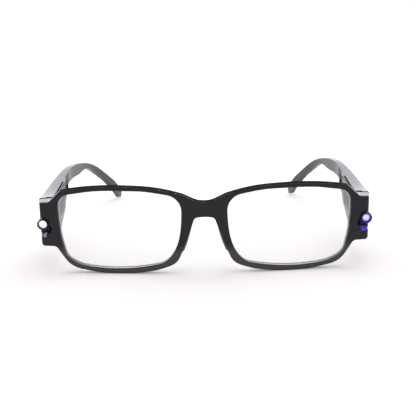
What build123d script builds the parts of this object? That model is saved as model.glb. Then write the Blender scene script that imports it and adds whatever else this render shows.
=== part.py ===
from build123d import *
import math
import os

# Lighted magnifier glasses, in millimetres.
# The front faces -Y, the side arms run back along +Y and +Z is up. The rims and the arm tips stand on z = 0.
# Every size is given for the wearer's left side, at +X. The right side is its mirror image.

# General sizes
overrun = 1.0                   # how far a cutting shape runs past the face that it cuts
seat_gap = 0.05                 # play between pieces that sit in each other

# Lens opening, seen square to the rim
lens_opening_width = 52.8
lens_opening_height = 34.0
nose_side_half = 9.55            # from the middle to the lens opening
rim_width_top = 1.75
rim_width_bottom = 2.75
opening_corner_shares = ((-0.985, 0.80), (1.013, 0.865), (0.870, -0.925), (-0.854, -0.850))
opening_corner_radius_shares = (0.21, 0.15, 0.25, 0.28)     # of the opening's height
opening_top_bulge = 2.7
opening_outer_bulge = 1.05
opening_bottom_bulge = 1.9
opening_nose_bulge = 1.4

# Front frame
front_wrap_radius = 450.0       # the front bows round an upright cylinder of this radius
front_depth = 3.0               # rims and bridge, front to back
endpiece_width = 7.8            # from the lens opening to the front's outer edge
front_outer_taper = 0.25        # the endpiece is this much narrower at its lower corner
bridge_top_share = 0.8208        # of the rim's height
bridge_under_share = 0.6442
bridge_flat_half = 3.2
bridge_dip_radius = 12.0
bridge_crown_radius = 12.0
nose_arch_half_width = 4.3
nose_arch_drop = 0.5
nose_arch_radius = 2.0
endpiece_rise = 9.5             # above the lamp's axis
endpiece_drop = 10.0            # below the lamp's axis
endpiece_corner_radius = 0.9
brow_shares = (-1.002, 0.895)   # share of the opening's half width, and of the rim's height
shoulder_shares = (0.949, 0.948)
chin_outer_shares = (0.830, 0.052)
chin_inner_shares = (-0.885, 0.061)
shoulder_radius = 5.0
chin_outer_radius = 9.5
chin_inner_radius = 9.0
endpiece_upper_blend = 3.0
endpiece_lower_blend = 2.5
endpiece_upper_inset = 3.85     # from the outer edge to where the rim's shoulder meets the endpiece's top edge
endpiece_lower_inset = 6.25
rest_flat_depth = 0.12          # the rims are cut flat this deep, where they stand
front_edge_radius = 0.75
opening_edge_radius = 0.4

# Endpiece return and hinge block, behind the rim
return_width = 4.25
return_rear_y = 11.9
return_corner_radius = 1.6
hinge_block_width = 6.95
hinge_block_rear_y = 10.7
hinge_block_drop = 5.4          # below the lamp's axis
hinge_block_rise = 5.3

# Lamp and its notch
lamp_inset = 1.05               # from the front's outer edge
lamp_level_share = 0.5662       # of the rim's height
notch_radius = 2.7
notch_low_inset = 2.05
notch_drop = 2.3                # below the lamp's axis
led_radius = 1.75
led_dome_radius = 2.4
led_length = 5.9
led_flange_radius = 1.95
led_flange_length = 1.0
led_tip_y = 4.9
led_leg_size = 0.5
led_leg_spacing = 2.54
led_cathode_end_y = 20.4
led_anode_end_y = 19.8
sleeve_radius = 2.4
sleeve_front_y = 4.3
sleeve_length = 2.8
sleeve_edge_radius = 0.3
boss_radius = 2.4

# Nose pads, moulded on the back of the rims
pad_height = 12.0
pad_depth = 5.2
pad_thickness = 2.6
pad_inset = 0.25                # from the lens opening to the pad's middle
pad_centre_y = 5.2
pad_level_share = 0.379         # of the rim's height
pad_lean = 20.5                 # degrees, with the rim's nose side
pad_splay = 24.0                # degrees, opening to the rear
pad_edge_radius = 1.2

# Lens
lens_front_radius = 163.0
lens_back_radius = 490.0
lens_thickness = 2.7
lens_stand_proud = 0.4          # the lens's middle stands this far before the rim
bevel_height = 0.6
bevel_width = 0.8
bevel_setback = 2.35            # from the lens's front vertex to the bevel's ridge
lens_blank_radius = 34.0

# Hinge
hinge_inset = 5.55              # from the front's outer edge
hinge_y = 12.0
hinge_drop = 0.05               # below the lamp's axis
knuckle_radius = 1.3
knuckle_height = 2.0
knuckle_gap = 0.06
leaf_thickness = 0.9
leaf_height = 6.0
pin_radius = 0.65
pin_running_gap = 0.05
pin_seat_gap = 0.02
screw_head_radius = 1.15
screw_head_height = 0.7
screw_slot_width = 0.35
screw_slot_depth = 0.35
screw_tail = 0.4                # below the lowest knuckle
front_leaf_inset = 6.65
temple_leaf_start_y = 13.7
temple_leaf_end_y = 18.3
stud_radius = 0.6
stud_length = 1.5
stud_spacing = 3.2

# Temple, the side arm
temple_front_y = 12.2
temple_relief_y = 14.5
temple_relief_inset = 1.45
temple_end_y = 130.6
temple_outer_proud = 1.35       # past the front's outer edge
temple_root_width = 6.5
temple_root_drop = 10.0         # below the lamp's axis
temple_root_rise = 9.7          # above the lamp's axis
arm_top_rise = 10.9
arm_top_shares = ((0.404, 1.000), (0.572, 0.966), (0.700, 0.838), (0.834, 0.540), (0.945, 0.268))
tip_upper_z = 3.6
tip_heel_inset = 4.8            # from the arm's end
tip_toe_inset = 1.5
arm_low_shares = ((0.851, 0.385), (0.739, 0.650), (0.632, 0.832), (0.516, 0.858))
root_line_y = 21.0
root_line_drop = 9.5
root_slope_y = 39.6
root_slope_drop = 2.5
root_step_y = 44.2
root_step_rise = 1.9
arm_low_start_y = 56.0
arm_low_start_rise = 5.1
root_corner_radius = 7.0
rise_corner_radius = 4.0
arm_blend_radius = 15.0
tip_toe_radius = 1.0
tip_heel_radius = 2.0
tip_upper_radius = 1.6
temple_draw_in = 21.7           # how far the tip lies inside the root
plan_outer_shares = ((0.153, 0.0), (0.315, 0.051), (0.488, 0.182), (0.661, 0.400), (0.824, 0.680), (1.0, 1.0))
step_rear_y = 44.7
switch_zone_y = 46.2
switch_zone_end_y = 56.0
switch_zone_step = 0.6          # from the root's inner face
arm_thickness_start = 4.0
arm_thickness_end = 2.0
temple_edge_radius = 0.8

# Battery section
cover_thickness = 1.0
cover_front_y = 19.6
cover_rear_y = 44.4
cover_top_rise = 9.1            # above the lamp's axis
cover_gap = 0.12
cover_seam = 0.4                # the open joint over the cover
cover_tongue_length = 0.9
cover_tongue_width = 5.0
cover_tongue_thickness = 0.5
cover_screw_y = 42.3
cover_screw_rise = 4.5
cover_screw_radius = 0.7
cover_screw_length = 4.0
cover_screw_head_radius = 1.3
cover_screw_head_depth = 0.7
cell_radius = 4.75
cell_thickness = 2.7
cell_front_y = 25.3
cell_spacing = 10.0
cell_rise = 2.4                 # above the lamp's axis
cell_inset = 1.55               # from the root's inner face
cell_cap_radius = 3.7
cell_cap_height = 0.2
cell_edge_radius = 0.25
cell_play = 0.2
contact_thickness = 0.25
contact_plate_height = 6.4
contact_plate_length = 18.0
contact_plate_corner = 2.4
contact_tab_height = 1.1
contact_tab_front_y = 18.9
strip_width = 1.7
strip_inset = 1.6
cavity_wall = 1.8
cavity_top_rise = 8.7
cavity_rear_y = 40.5
channel_front_y = 18.8
channel_rear_y = 20.6
channel_width = 1.2
wire_radius = 0.4
wire_rise = 8.0
wire_drop_y = 19.4
wire_bend_radius = 2.5

# Switch
switch_front_y = 46.9
switch_length = 5.6
switch_depth = 2.7
switch_height = 4.0
switch_rise = 6.5               # above the lamp's axis
switch_face_inset = 0.75        # from the root's inner face
switch_wall = 0.5
switch_travel = 1.5
knob_drop = 1.1                 # below the switch's middle
knob_length = 2.0
knob_height = 1.9
knob_proud = 0.9                # before the arm's inner face
knob_neck_length = 1.2
knob_neck_height = 0.8
knob_foot_length = 2.0
knob_foot_height = 1.2
knob_foot_depth = 0.8
switch_gap = 0.1

# Places that follow from the sizes above
rim_height = rim_width_bottom + lens_opening_height + rim_width_top
bridge_top_z = bridge_top_share * rim_height
bridge_under_z = bridge_under_share * rim_height
pad_centre_z = pad_level_share * rim_height
lamp_z = lamp_level_share * rim_height
notch_low_z = lamp_z - notch_drop
endpiece_top_z = lamp_z + endpiece_rise
endpiece_bottom_z = lamp_z - endpiece_drop
hinge_block_bottom_z = lamp_z - hinge_block_drop
hinge_block_top_z = lamp_z + hinge_block_rise
hinge_z = lamp_z - hinge_drop
temple_root_bottom_z = lamp_z - temple_root_drop
temple_root_top_z = lamp_z + temple_root_rise
arm_top_z = lamp_z + arm_top_rise
root_line_z = lamp_z - root_line_drop
root_slope_z = lamp_z - root_slope_drop
root_step_z = lamp_z + root_step_rise
arm_low_start_z = lamp_z + arm_low_start_rise
cover_top_z = lamp_z + cover_top_rise
cover_screw_z = lamp_z + cover_screw_rise
cell_z = lamp_z + cell_rise
cavity_top_z = lamp_z + cavity_top_rise
wire_z = lamp_z + wire_rise
switch_z = lamp_z + switch_rise
knob_z = switch_z - knob_drop
lens_centre_x = nose_side_half + lens_opening_width / 2
lens_centre_z = rim_width_bottom + lens_opening_height / 2
wrap_angle = math.degrees(math.asin(lens_centre_x / front_wrap_radius))
front_half_width = nose_side_half + lens_opening_width + endpiece_width
endpiece_upper_x = front_half_width - endpiece_upper_inset
endpiece_lower_x = front_half_width - endpiece_lower_inset
return_inner_x = front_half_width - return_width
hinge_block_inner_x = front_half_width - hinge_block_width
lamp_x = front_half_width - lamp_inset
notch_low_x = front_half_width - notch_low_inset
pad_centre_x = nose_side_half - pad_inset
hinge_x = front_half_width - hinge_inset
front_leaf_inner_x = front_half_width - front_leaf_inset
temple_outer_x = front_half_width + temple_outer_proud
temple_inner_x = temple_outer_x - temple_root_width
temple_relief_x = front_half_width - temple_relief_inset
temple_reach = temple_end_y - temple_front_y
tip_heel_y = temple_end_y - tip_heel_inset
tip_toe_y = temple_end_y - tip_toe_inset
switch_zone_inner_x = temple_inner_x + switch_zone_step
switch_face_x = temple_inner_x + switch_face_inset
cell_inner_x = temple_inner_x + cell_inset
strip_inner_x = temple_inner_x + strip_inset
cavity_outer_x = temple_outer_x - cavity_wall
channel_inner_x = cavity_outer_x - channel_width


def wrap_y(x):
    """Depth of the front's bowed face at a distance x from the middle."""
    return front_wrap_radius - math.sqrt(front_wrap_radius**2 - x**2)


def block(x0, x1, y0, y1, z0, z1):
    """A box between two corners."""
    return Pos((x0 + x1) / 2, (y0 + y1) / 2, (z0 + z1) / 2) * Box(x1 - x0, y1 - y0, z1 - z0)


def round_corner(face, point, radius):
    """The face with the corner nearest to a point rounded."""
    corner = face.vertices().sort_by_distance(Vector(*point))[0]
    return fillet(corner, radius)


def along_y(radius, x, z, y0, y1):
    """A round bar that runs along Y."""
    return Plane((x, y0, z), x_dir=(1, 0, 0), z_dir=(0, 1, 0)) * extrude(Circle(radius), y1 - y0)


def along_x(radius, y, z, x0, x1):
    """A round bar that runs along X."""
    return Plane((x0, y, z), x_dir=(0, 1, 0), z_dir=(1, 0, 0)) * extrude(Circle(radius), x1 - x0)


def along_z(radius, x, y, z0, z1):
    """A round bar that runs along Z."""
    return Pos(x, y, z0) * extrude(Circle(radius), z1 - z0)


lens_plane = Plane(
    (lens_centre_x, wrap_y(lens_centre_x), lens_centre_z),
    x_dir=(math.cos(math.radians(wrap_angle)), math.sin(math.radians(wrap_angle)), 0),
    z_dir=(math.sin(math.radians(wrap_angle)), -math.cos(math.radians(wrap_angle)), 0),
)


def circle_crossing(first, second, near):
    """The crossing of two circles, each a centre and a radius, on the side nearest to a point."""
    (centre0, radius0), (centre1, radius1) = first, second
    between = centre1 - centre0
    along = (radius0**2 - radius1**2 + between.length**2) / (2 * between.length)
    aside = math.sqrt(radius0**2 - along**2)
    unit = between.normalized()
    across = Vector(-unit.Y, unit.X)
    places = [centre0 + unit * along + across * side * aside for side in (-1, 1)]
    return min(places, key=lambda place: (place - near).length)


def opening_outline(grow):
    """The lens opening in the lens plane, grown all round: four bowed sides with rounded corners."""
    half = (lens_opening_width / 2, lens_opening_height / 2)
    corners = [Vector(u * half[0], v * half[1]) for u, v in opening_corner_shares]
    bulges = (opening_top_bulge, opening_outer_bulge, opening_bottom_bulge, opening_nose_bulge)
    circles, crests = [], []
    for i, bulge in enumerate(bulges):
        start, end = corners[i], corners[(i + 1) % len(corners)]
        chord = end - start
        outward = Vector(-chord.Y, chord.X).normalized()
        radius = chord.length**2 / (8 * bulge) + bulge / 2
        circles.append(((start + end) / 2 + outward * (bulge - radius), radius + grow))
        crests.append((start + end) / 2 + outward * (bulge + grow))
    places = [circle_crossing(circles[i - 1], circles[i], corner) for i, corner in enumerate(corners)]
    sides = [ThreePointArc(places[i], crests[i], places[(i + 1) % len(places)]) for i in range(len(places))]
    face = make_face(sides)
    for place, share in zip(places, opening_corner_radius_shares):
        face = round_corner(face, place, share * lens_opening_height + grow)
    return face


def bevelled_edge(play):
    """The lens's rim form with its ridge, larger by the play all round."""
    ridge_z = lens_stand_proud - bevel_setback
    foot = opening_outline(play - seat_gap)
    ridge = opening_outline(bevel_height + play)
    half = bevel_width / 2 + play
    core = Pos(0, 0, -2 * front_depth) * extrude(foot, 3 * front_depth)
    bevel = loft([Pos(0, 0, ridge_z - half) * foot, Pos(0, 0, ridge_z) * ridge,
                  Pos(0, 0, ridge_z + half) * foot], ruled=True)
    return core, bevel


def lens():
    """A clear meniscus lens with a bevelled edge, cut to the opening's shape."""
    core, bevel = bevelled_edge(0)
    front_centre = Pos(0, 0, lens_stand_proud - lens_front_radius)
    back_centre = Pos(0, 0, lens_stand_proud - lens_thickness - lens_back_radius)
    blank = Pos(0, 0, -lens_thickness * 2) * Cylinder(lens_blank_radius, lens_thickness * 6)
    meniscus = blank & (front_centre * Sphere(lens_front_radius))
    meniscus = meniscus - back_centre * Sphere(lens_back_radius)
    return lens_plane * ((core + bevel) & meniscus)


def front_outline():
    """The front seen from before: one half from the bridge round the rim and the endpiece."""
    half_width = lens_opening_width / 2

    def rim_point(shares):
        return (lens_centre_x + shares[0] * half_width, shares[1] * rim_height)

    bridge_mid = (0, bridge_top_z)
    bridge_end = (bridge_flat_half, bridge_top_z)
    brow = rim_point(brow_shares)
    shoulder = rim_point(shoulder_shares)
    upper_blend = (endpiece_upper_x, endpiece_top_z)
    upper_corner = (front_half_width, endpiece_top_z)
    lower_corner = (front_half_width - front_outer_taper, endpiece_bottom_z)
    lower_blend = (endpiece_lower_x, endpiece_bottom_z)
    chin_outer = rim_point(chin_outer_shares)
    chin_inner = rim_point(chin_inner_shares)
    arch = (nose_arch_half_width, bridge_under_z - nose_arch_drop)
    arch_mid = (0, bridge_under_z)
    edges = [
        Line(bridge_mid, bridge_end),
        Line(bridge_end, brow),
        ThreePointArc(brow, (lens_centre_x, rim_height), shoulder),
        Line(shoulder, upper_blend),
        Line(upper_blend, upper_corner),
        Line(upper_corner, lower_corner),
        Line(lower_corner, lower_blend),
        Line(lower_blend, chin_outer),
        ThreePointArc(chin_outer, (lens_centre_x, -rest_flat_depth), chin_inner),
        Line(chin_inner, arch),
        TangentArc(arch_mid, arch, tangent=(1, 0)),
        Line(arch_mid, bridge_mid),
    ]
    face = make_face(edges)
    rounds = (
        (bridge_end, bridge_dip_radius),
        (brow, bridge_crown_radius),
        (shoulder, shoulder_radius),
        (upper_blend, endpiece_upper_blend),
        (upper_corner, endpiece_corner_radius),
        (lower_corner, endpiece_corner_radius),
        (lower_blend, endpiece_lower_blend),
        (chin_outer, chin_outer_radius),
        (chin_inner, chin_inner_radius),
        (arch, nose_arch_radius),
    )
    for corner, radius in rounds:
        face = round_corner(face, corner, radius)
    return face + mirror(face, Plane.YZ)


def both_sides(shape):
    """A shape of the left side with its mirror image."""
    return shape + mirror(shape, Plane.YZ)


def lamp_notch():
    """The notch in the endpiece's outer edge, in which the lamp swings."""
    places = ((lamp_x, lamp_z), (notch_low_x, notch_low_z))
    outward = front_half_width - notch_low_x + 2 * notch_radius
    circles = [Pos(x + step, z) * Circle(notch_radius) for x, z in places for step in (0, outward)]
    outline = make_hull([edge for circle in circles for edge in circle.edges()])
    depth = return_rear_y + 2 * overrun
    return Plane((0, return_rear_y + overrun, 0), x_dir=(1, 0, 0), z_dir=(0, -1, 0)) * extrude(outline, depth)


def nose_pad():
    """A rounded pad that stands back from the rim's nose side."""
    pad = Box(pad_thickness, pad_depth, pad_height)
    pad = fillet(pad.edges(), pad_edge_radius)
    place = Pos(pad_centre_x, pad_centre_y, pad_centre_z)
    return place * Rot(0, 0, -pad_splay) * Rot(0, -pad_lean, 0) * pad


def front_frame():
    """The moulded front: two rims, bridge, nose pads, endpieces with their notches and hinge blocks."""
    outline = Plane((0, return_rear_y, 0), x_dir=(1, 0, 0), z_dir=(0, -1, 0)) * front_outline()
    slab = extrude(outline, return_rear_y + overrun)
    tall = rim_height * 4
    bow = Pos(0, front_wrap_radius, 0) * Cylinder(front_wrap_radius, tall)
    hollow = Pos(0, front_wrap_radius, 0) * Cylinder(front_wrap_radius - front_depth, tall)
    opening = Pos(0, 0, -4 * front_depth) * extrude(opening_outline(0), 6 * front_depth)
    front = (slab & bow) - both_sides(lens_plane * opening)
    front_face = front.faces().filter_by(GeomType.CYLINDER).sort_by(SortBy.AREA)[-1]
    front = fillet([edge for wire in front_face.inner_wires() for edge in wire.edges()], opening_edge_radius)
    front_face = front.faces().filter_by(GeomType.CYLINDER).sort_by(SortBy.AREA)[-1]
    front = fillet(front_face.outer_wire().edges(), front_edge_radius)
    returns = block(return_inner_x, front_half_width + overrun, 0, return_rear_y, 0, rim_height)
    returns = fillet(returns.edges().filter_by(Axis.Z).sort_by_distance(
        Vector(return_inner_x, return_rear_y, rim_height / 2))[0], return_corner_radius)
    blocks = block(hinge_block_inner_x, return_inner_x + return_corner_radius, 0, hinge_block_rear_y,
                   hinge_block_bottom_z, hinge_block_top_z)
    front = front - (hollow - both_sides(returns + blocks))
    core, bevel = bevelled_edge(seat_gap)
    front = front + both_sides(nose_pad() - lens_plane * opening)
    front = front - both_sides(lamp_notch()) - both_sides(lens_plane * bevel)
    front = front - both_sides(front_leaf_pocket())
    below = block(-front_half_width, front_half_width, -overrun, return_rear_y, -overrun, 0)
    return front - below


def knuckle(z0, z1, bore):
    """One knuckle of the hinge, bored for its pin."""
    barrel = along_z(knuckle_radius, hinge_x, hinge_y, z0, z1)
    return barrel, along_z(bore, hinge_x, hinge_y, z0 - overrun, z1 + overrun)


def knuckle_levels():
    """The three knuckles' lower and upper ends, from the lowest."""
    bottom = hinge_z - 1.5 * knuckle_height
    return [(bottom + i * knuckle_height, bottom + (i + 1) * knuckle_height) for i in range(3)]


def stud_heights():
    return (hinge_z - stud_spacing / 2, hinge_z + stud_spacing / 2)


def front_leaf_plate(play):
    """The leaf's plate, let into the back of the hinge block."""
    rear = hinge_block_rear_y - seat_gap
    half = leaf_height / 2 + play
    plate = block(front_leaf_inner_x - play, hinge_x + knuckle_radius + play, rear - leaf_thickness - play,
                  rear + (overrun if play else 0), hinge_z - half, hinge_z + half)
    for z in stud_heights():
        stud_x = (front_leaf_inner_x + hinge_x + knuckle_radius) / 2
        plate = plate + along_y(stud_radius + play, stud_x, z, rear - leaf_thickness - stud_length, rear)
    return plate


def front_leaf_pocket():
    """The pocket for the front leaf."""
    return front_leaf_plate(pin_seat_gap)


def front_hinge_leaf():
    """The leaf in the endpiece, with the upper and the lower knuckle."""
    leaf = front_leaf_plate(0)
    levels = knuckle_levels()
    for z0, z1 in (levels[0], levels[2]):
        barrel, bore = knuckle(z0, z1, pin_radius + pin_seat_gap)
        web = block(hinge_x, hinge_x + knuckle_radius, hinge_block_rear_y - leaf_thickness, hinge_y, z0, z1)
        leaf = leaf + barrel + web - bore
    z0, z1 = levels[1]
    room = along_z(knuckle_radius + seat_gap, hinge_x, hinge_y, z0, z1)
    return leaf - room


def temple_leaf_plate(play):
    """The leaf's plate, let into the temple's inner face."""
    half = leaf_height / 2 + play
    plate = block(temple_inner_x - (overrun if play else 0), temple_inner_x + leaf_thickness + play,
                  temple_leaf_start_y - play, temple_leaf_end_y + play, hinge_z - half, hinge_z + half)
    for z in stud_heights():
        stud_y = (temple_relief_y + temple_leaf_end_y) / 2
        reach = temple_inner_x + leaf_thickness + stud_length
        plate = plate + along_x(stud_radius + play, stud_y, z, temple_inner_x, reach)
    return plate


def temple_hinge_leaf():
    """The leaf in the temple, with the middle knuckle."""
    z0, z1 = knuckle_levels()[1]
    z0, z1 = z0 + knuckle_gap, z1 - knuckle_gap
    barrel, bore = knuckle(z0, z1, pin_radius + pin_running_gap)
    web = block(temple_inner_x, temple_inner_x + leaf_thickness, hinge_y, temple_leaf_start_y, z0, z1)
    return temple_leaf_plate(0) + barrel + web - bore


def hinge_screw():
    """The hinge's pin: a slotted screw from above."""
    bottom = knuckle_levels()[0][0] - screw_tail
    top = knuckle_levels()[2][1]
    screw = along_z(pin_radius, hinge_x, hinge_y, bottom, top)
    head = along_z(screw_head_radius, hinge_x, hinge_y, top, top + screw_head_height)
    head = fillet(head.edges().sort_by(Axis.Z)[-1], screw_slot_depth / 2)
    slot = block(hinge_x - 2 * screw_head_radius, hinge_x + 2 * screw_head_radius,
                 hinge_y - screw_slot_width / 2, hinge_y + screw_slot_width / 2,
                 top + screw_head_height - screw_slot_depth, top + screw_head_height + overrun)
    return screw + head - slot


def temple_side_outline():
    """The temple seen from the side, as (y, z): a deep root, a slim arm and a rounded tip."""
    def arm_point(shares):
        return (temple_front_y + shares[0] * temple_reach, shares[1] * arm_top_z)

    top = [(temple_front_y, temple_root_top_z)] + [arm_point(s) for s in arm_top_shares]
    tip_upper = (temple_end_y, tip_upper_z)
    toe = (tip_toe_y, 0)
    heel = (tip_heel_y, 0)
    low = [arm_point(s) for s in arm_low_shares]
    low_start = (arm_low_start_y, arm_low_start_z)
    rise = (root_step_y, root_step_z)
    slope = (root_slope_y, root_slope_z)
    root = (root_line_y, root_line_z)
    root_front = (temple_front_y, temple_root_bottom_z)
    edges = [
        Spline(*top, tip_upper),
        Line(tip_upper, toe),
        Line(toe, heel),
        Spline(heel, *low, low_start),
        Line(low_start, rise),
        Line(rise, slope),
        Line(slope, root),
        Line(root, root_front),
        Line(root_front, top[0]),
    ]
    face = make_face(edges)
    rounds = (
        (tip_upper, tip_upper_radius),
        (toe, tip_toe_radius),
        (heel, tip_heel_radius),
        (low_start, arm_blend_radius),
        (rise, rise_corner_radius),
        (slope, rise_corner_radius),
        (root, root_corner_radius),
    )
    for corner, radius in rounds:
        face = round_corner(face, corner, radius)
    return face


def temple_plan_outline():
    """The temple seen from above, as (x, y): it draws in behind the battery section and at the tip."""
    outer = [(temple_outer_x, temple_front_y)]
    outer += [(temple_outer_x - drop * temple_draw_in, temple_front_y + share * temple_reach)
              for share, drop in plan_outer_shares]
    arm = [place for place in outer if place[1] > switch_zone_end_y + arm_thickness_start]
    span = temple_end_y - switch_zone_end_y
    inner = []
    for x, y in reversed(arm):
        share = (y - switch_zone_end_y) / span
        inner.append((x - arm_thickness_start + share * (arm_thickness_start - arm_thickness_end), y))
    zone_end = (switch_zone_inner_x, switch_zone_end_y)
    zone_start = (switch_zone_inner_x, switch_zone_y)
    step = (temple_inner_x, step_rear_y)
    relief_in = (temple_inner_x, temple_relief_y)
    relief_out = (temple_relief_x, temple_relief_y)
    butt = (temple_relief_x, temple_front_y)
    edges = [
        Spline(*outer),
        Line(outer[-1], inner[0]),
        Spline(*inner, zone_end, tangents=[Vector(*inner[1]) - Vector(*inner[0]), (0, -1)]),
        Line(zone_end, zone_start),
        Line(zone_start, step),
        Line(step, relief_in),
        Line(relief_in, relief_out),
        Line(relief_out, butt),
        Line(butt, outer[0]),
    ]
    return make_face(edges)


def temple_body():
    """The whole temple as one rounded solid, before it is split into shell and cover."""
    side = Plane((temple_outer_x + overrun, 0, 0), x_dir=(0, 1, 0), z_dir=(1, 0, 0)) * temple_side_outline()
    side_solid = extrude(side, -temple_outer_x)
    plan_solid = Pos(0, 0, -overrun) * extrude(temple_plan_outline(), arm_top_z + 2 * overrun)
    body = side_solid & plan_solid
    curved = body.faces().filter_by(GeomType.EXTRUSION)
    outer_face = max(curved, key=lambda face: face.normal_at().X)
    behind_butt = temple_front_y + temple_edge_radius
    outer_edges = [edge for edge in outer_face.edges() if edge.center().Y > behind_butt]
    return fillet(outer_edges, temple_edge_radius)


def cover_region(play, seam):
    """The space of the battery cover in the temple, smaller by the play and by the seam over it."""
    return block(temple_inner_x - overrun, temple_inner_x + cover_thickness - play, cover_front_y + play,
                 cover_rear_y - play, -overrun, cover_top_z - seam)


def cover_tongue(play):
    """The tongue that hooks the cover's front end under the shell."""
    rear_x = temple_inner_x + cover_thickness
    return block(rear_x - cover_tongue_thickness - play, rear_x + play, cover_front_y - cover_tongue_length - play,
                 cover_front_y + cover_tongue_length, cell_z - cover_tongue_width / 2 - play,
                 cell_z + cover_tongue_width / 2 + play)


def cell_places():
    return (cell_front_y, cell_front_y + cell_spacing)


def battery_cavity():
    """The hollow for the cells, contacts and wire, open under the cover."""
    inner_x = temple_inner_x + cover_thickness - overrun
    radius = cell_radius + cell_play
    cavity = along_x(radius, cell_places()[0], cell_z, inner_x, cavity_outer_x)
    cavity += along_x(radius, cell_places()[1], cell_z, inner_x, cavity_outer_x)
    cavity += block(inner_x, cavity_outer_x, cell_places()[0], cell_places()[1], cell_z - radius, cell_z + radius)
    cavity += block(inner_x, cavity_outer_x, channel_rear_y, cavity_rear_y, cell_z, cavity_top_z)
    cavity += block(channel_inner_x, cavity_outer_x, channel_front_y, cell_places()[0],
                    lamp_z - led_leg_spacing / 2 - contact_tab_height, cavity_top_z)
    leg_room = led_leg_size / 2 + 2 * seat_gap
    half = led_leg_spacing / 2 + leg_room
    cavity += block(lamp_x - leg_room, lamp_x + leg_room, led_tip_y + led_length - overrun / 2, channel_front_y + overrun,
                    lamp_z - half, lamp_z + half)
    tunnel_low = cell_z + cell_radius - seat_gap
    cavity += block(strip_inner_x - 2 * seat_gap, cavity_outer_x, cavity_rear_y - overrun, switch_front_y + overrun,
                    tunnel_low, cavity_top_z)
    return cavity


def switch_pocket():
    """The pocket for the switch in the arm's inner face."""
    half = switch_height / 2 + seat_gap
    return block(temple_inner_x - overrun, switch_face_x + switch_depth + seat_gap, switch_front_y - seat_gap,
                 switch_front_y + switch_length + seat_gap, switch_z - half, switch_z + half)


def temple_shell(body):
    """The temple's moulded shell with its lamp boss, battery hollow and switch pocket."""
    boss = along_y(boss_radius, lamp_x, lamp_z, led_tip_y + led_length - led_flange_length,
                   temple_relief_y + overrun)
    shell = body + boss
    flange_seat = along_y(led_flange_radius + seat_gap, lamp_x, lamp_z, led_tip_y, led_tip_y + led_length)
    shell = shell - flange_seat - cover_region(0, 0) - battery_cavity() - switch_pocket()
    shell = shell - temple_leaf_plate(pin_seat_gap) - cover_tongue(cover_gap)
    pilot = along_x(cover_screw_radius, cover_screw_y, cover_screw_z, temple_inner_x,
                    temple_inner_x + cover_screw_length + seat_gap)
    return shell - pilot


def battery_cover(body):
    """The inner cover over the cells, hooked in front and screwed at its rear."""
    cover = body & cover_region(cover_gap, cover_seam)
    cover = cover + cover_tongue(0)
    head = cover_screw_solid(seat_gap)
    return cover - head


def cover_screw_solid(play):
    """A countersunk screw, larger by the play."""
    tip = temple_inner_x + cover_screw_length
    shank = along_x(cover_screw_radius + play, cover_screw_y, cover_screw_z, temple_inner_x, tip)
    cone_plane = Plane((temple_inner_x, cover_screw_y, cover_screw_z), x_dir=(0, 1, 0), z_dir=(1, 0, 0))
    head = cone_plane * Pos(0, 0, cover_screw_head_depth / 2) * Cone(
        cover_screw_head_radius + play, cover_screw_radius + play, cover_screw_head_depth)
    return shank + head


def cover_screw():
    """The cover's countersunk screw with its driver slot."""
    slot_half = screw_slot_width / 2
    slot = block(temple_inner_x - overrun, temple_inner_x + screw_slot_depth, cover_screw_y - slot_half,
                 cover_screw_y + slot_half, cover_screw_z - 2 * cover_screw_head_radius,
                 cover_screw_z + 2 * cover_screw_head_radius)
    return cover_screw_solid(0) - slot


def battery_cell(y):
    """A button cell: a can with a rounded rim and a smaller negative cap towards the contact plate."""
    can_end = cell_inner_x + cell_thickness - cell_cap_height
    can = along_x(cell_radius, y, cell_z, cell_inner_x, can_end)
    can = fillet(can.edges().filter_by(GeomType.CIRCLE), cell_edge_radius)
    return can + along_x(cell_cap_radius, y, cell_z, can_end - cell_cap_height, can_end + cell_cap_height)


def negative_contact():
    """The plate behind the cells, with a tab to the lamp's cathode leg."""
    x0 = lamp_x + led_leg_size / 2
    middle = (cell_places()[0] + cell_places()[1]) / 2
    plate = block(x0, x0 + contact_thickness, middle - contact_plate_length / 2, middle + contact_plate_length / 2,
                  cell_z - contact_plate_height / 2, cell_z + contact_plate_height / 2)
    plate = fillet(plate.edges().filter_by(Axis.X), contact_plate_corner)
    leg_z = lamp_z - led_leg_spacing / 2
    tab = block(x0, x0 + contact_thickness, contact_tab_front_y, middle, leg_z - contact_tab_height / 2,
                leg_z + contact_tab_height)
    return plate + tab


def positive_contact():
    """The strip along the cells' rims, which ends at the switch."""
    z0 = cell_z + cell_radius + seat_gap
    return block(strip_inner_x, strip_inner_x + strip_width, cell_places()[0] - cell_radius / 2, switch_front_y,
                 z0, z0 + contact_thickness)


def led():
    """A round lamp: a body with a low dome, a flange and two legs."""
    rear = led_tip_y + led_length
    centre_y = led_tip_y + led_dome_radius
    body = along_y(led_radius, lamp_x, lamp_z, centre_y, rear)
    dome = along_y(led_radius, lamp_x, lamp_z, led_tip_y, centre_y)
    dome = dome & (Pos(lamp_x, centre_y, lamp_z) * Sphere(led_dome_radius))
    flange = along_y(led_flange_radius, lamp_x, lamp_z, rear - led_flange_length, rear)
    lamp = body + dome + flange
    half = led_leg_size / 2
    for side, end in ((-1, led_cathode_end_y), (1, led_anode_end_y)):
        z = lamp_z + side * led_leg_spacing / 2
        lamp += block(lamp_x - half, lamp_x + half, rear - led_flange_length / 2, end, z - half, z + half)
    return lamp


def led_sleeve():
    """The ring pressed on the lamp's front."""
    ring = along_y(sleeve_radius, lamp_x, lamp_z, sleeve_front_y, sleeve_front_y + sleeve_length)
    ring = fillet(ring.edges().filter_by(GeomType.CIRCLE), sleeve_edge_radius)
    bore = along_y(led_radius + pin_seat_gap, lamp_x, lamp_z, sleeve_front_y - overrun,
                   sleeve_front_y + sleeve_length + overrun)
    return ring - bore


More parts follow.
